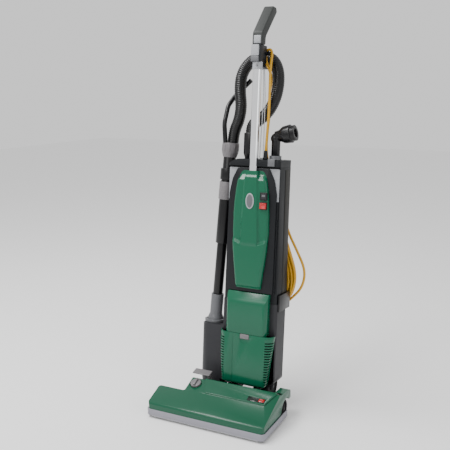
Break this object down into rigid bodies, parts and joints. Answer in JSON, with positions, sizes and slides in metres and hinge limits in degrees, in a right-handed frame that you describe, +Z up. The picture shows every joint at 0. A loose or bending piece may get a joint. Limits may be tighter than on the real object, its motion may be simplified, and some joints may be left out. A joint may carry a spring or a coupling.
{
  "type": "upright vacuum cleaner",
  "caption": "Commercial upright vacuum cleaner with motorised brush head, reclining body, telescopic hose wand, dusting tool, stowed cord and bag housing",
  "frame": {"origin": "middle of the footprint, on the floor", "axes": "+X to the machine's right hand seen from the front, -Y the front (bumper side), +Z up"},
  "size_m": [0.38, 0.3686, 1.1925],
  "materials": {
    "hood_green": "moulded, fine grain",
    "bumper_grey": "soft satin",
    "base_black": "moulded",
    "steel": "satin",
    "lens_red": "clear tinted",
    "motor_grey": "satin",
    "belt_rubber": "moulded",
    "arm_metal": "painted black",
    "brush_core": "moulded",
    "bristles": "nylon tufts",
    "wheel_black": "moulded",
    "tread": "moulded",
    "light_grey": "moulded, fine grain",
    "mid_grey": "moulded",
    "casing_dark": "moulded, fine grain",
    "cover_green": "moulded, fine grain",
    "black_plastic": "moulded, fine grain",
    "chrome": "polished",
    "switch_red": "moulded",
    "screw_steel": "turned",
    "fan_grey": "moulded",
    "bag_paper": "paper",
    "filter_foam": "foam",
    "hose_black": "ribbed",
    "cord_yellow": "satin",
    "plug_black": "moulded"
  },
  "bodies": {
    "head": {"head_hood": "hood_green", "bumper_strip": "bumper_grey", "head_base": "base_black", "sole_plate": "steel", "indicator_window": "lens_red", "brush_motor": "motor_grey", "drive_belt": "belt_rubber", "yoke_arms": "arm_metal", "pivot_axle": "steel", "brush_bearings": "steel"},
    "brush": {"brush_roll": "brush_core", "brush_bristles": "bristles"},
    "motor_shaft": {"motor_pulley": "steel"},
    "rear_wheel_left": {"rear_wheel_left": "tread"},
    "rear_wheel_right": {"rear_wheel_right": "tread"},
    "side_wheel_left": {"side_wheel_left": "tread"},
    "side_wheel_right": {"side_wheel_right": "tread"},
    "front_roller_left": {"front_roller_left": "wheel_black"},
    "front_roller_right": {"front_roller_right": "wheel_black"},
    "knob": {"height_knob": "mid_grey"},
    "pedal": {"release_pedal": "mid_grey"},
    "body": {"lower_casing": "casing_dark", "pocket_rim": "light_grey", "mid_cover": "cover_green", "upper_cover": "cover_green", "backing_plate": "black_plastic", "front_panel": "light_grey", "bag_housing": "casing_dark", "top_cap": "casing_dark", "hose_socket": "black_plastic", "tool_holder": "light_grey", "handle_tube": "chrome", "tube_fitting": "light_grey", "screws": "screw_steel", "hook_bracket": "casing_dark", "handle_grip": "black_plastic", "wire_stay": "steel", "lower_cord_hook": "black_plastic", "strain_relief": "black_plastic", "suction_motor": "motor_grey", "dust_bag": "bag_paper", "exhaust_filter": "filter_foam", "hose": "hose_black", "cord_run": "cord_yellow", "cord_winding": "cord_yellow", "plug": "plug_black"},
    "cover": {"lower_cover": "cover_green"},
    "latch": {"latch_button": "mid_grey"},
    "switch": {"power_switch": "switch_red"},
    "fan": {"suction_fan": "fan_grey"},
    "hook": {"upper_cord_hook": "black_plastic"},
    "wand_lower": {"wand_elbow": "mid_grey", "wand_lower_tube": "black_plastic"},
    "wand": {"wand_upper_tube": "black_plastic", "wand_sleeve": "black_plastic", "wand_collar": "mid_grey", "wand_grip": "black_plastic"},
    "lock": {"slide_lock": "mid_grey"},
    "tool": {"dusting_tool": "black_plastic"}
  },
  "joints": [
    {"name": "body_recline", "type": "hinge", "parent": "head", "child": "body", "pos_m": [0, 0.09565, 0.042], "axis": [-1, 0, 0], "range_deg": [0, 65]},
    {"name": "brush_spin", "type": "hinge", "parent": "head", "child": "brush", "pos_m": [0, -0.14735, 0.0255], "axis": [1, 0, 0], "continuous": true},
    {"name": "motor_spin", "type": "hinge", "parent": "head", "child": "motor_shaft", "pos_m": [0, -0.08435, 0.048], "axis": [1, 0, 0], "continuous": true},
    {"name": "rear_wheel_left_spin", "type": "hinge", "parent": "head", "child": "rear_wheel_left", "pos_m": [-0.026, 0.09565, 0.042], "axis": [1, 0, 0], "continuous": true},
    {"name": "rear_wheel_right_spin", "type": "hinge", "parent": "head", "child": "rear_wheel_right", "pos_m": [0.088, 0.09565, 0.042], "axis": [1, 0, 0], "continuous": true},
    {"name": "side_wheel_left_spin", "type": "hinge", "parent": "head", "child": "side_wheel_left", "pos_m": [-0.083, -0.02635, 0.024], "axis": [1, 0, 0], "continuous": true},
    {"name": "side_wheel_right_spin", "type": "hinge", "parent": "head", "child": "side_wheel_right", "pos_m": [0.171, -0.01235, 0.03], "axis": [1, 0, 0], "continuous": true},
    {"name": "front_roller_left_spin", "type": "hinge", "parent": "head", "child": "front_roller_left", "pos_m": [-0.06, -0.09635, 0.0095], "axis": [1, 0, 0], "continuous": true},
    {"name": "front_roller_right_spin", "type": "hinge", "parent": "head", "child": "front_roller_right", "pos_m": [0.143, -0.09635, 0.0095], "axis": [1, 0, 0], "continuous": true},
    {"name": "height_knob_turn", "type": "hinge", "parent": "head", "child": "knob", "pos_m": [-0.079, -0.07835, 0.086], "axis": [0, -0.3714, 0.9285], "range_deg": [0, 180]},
    {"name": "pedal_press", "type": "hinge", "parent": "head", "child": "pedal", "pos_m": [-0.059, -0.02435, 0.062], "axis": [1, 0, 0], "range_deg": [0, 6], "stiffness_Nm_per_rad": 3, "springref_deg": -6.88},
    {"name": "cover_open", "type": "hinge", "parent": "body", "child": "cover", "pos_m": [0.05, 0.00117, 0.08186], "axis": [1, 0, 0], "range_deg": [0, 35]},
    {"name": "latch_press", "type": "slide", "parent": "cover", "child": "latch", "axis": [0, 0.9969, -0.0785], "range_m": [0, 0.003], "stiffness_N_per_m": 400, "springref_m": -0.002},
    {"name": "switch_rock", "type": "hinge", "parent": "body", "child": "switch", "pos_m": [0.092, 0.01992, 0.62606], "axis": [1, 0, 0], "range_deg": [0, 10]},
    {"name": "fan_spin", "type": "hinge", "parent": "body", "child": "fan", "pos_m": [0.062, 0.06011, 0.19358], "axis": [0, 0.0785, 0.9969], "continuous": true},
    {"name": "cord_hook_turn", "type": "hinge", "parent": "body", "child": "hook", "pos_m": [0.068, 0.1395, 0.62869], "axis": [0, 0.9969, -0.0785], "range_deg": [0, 180]},
    {"name": "wand_lift", "type": "slide", "parent": "body", "child": "wand", "axis": [0.0576, 0.0783, 0.9953], "range_m": [0, 0.12], "deforming": ["hose"]},
    {"name": "wand_retract", "type": "slide", "parent": "wand", "child": "wand_lower", "axis": [0.0576, 0.0783, 0.9953], "range_m": [0, 0.14]},
    {"name": "slide_lock_pull", "type": "slide", "parent": "wand", "child": "lock", "axis": [0.0576, 0.0783, 0.9953], "range_m": [-0.008, 0], "stiffness_N_per_m": 300, "springref_m": 0.002},
    {"name": "dusting_tool_lift", "type": "slide", "parent": "body", "child": "tool", "axis": [0, 0.0785, 0.9969], "range_m": [0, 0.06]}
  ],
  "couplings": [
    {"joint": "motor_spin", "follows": "brush_spin", "ratio": 1.625}
  ]
}
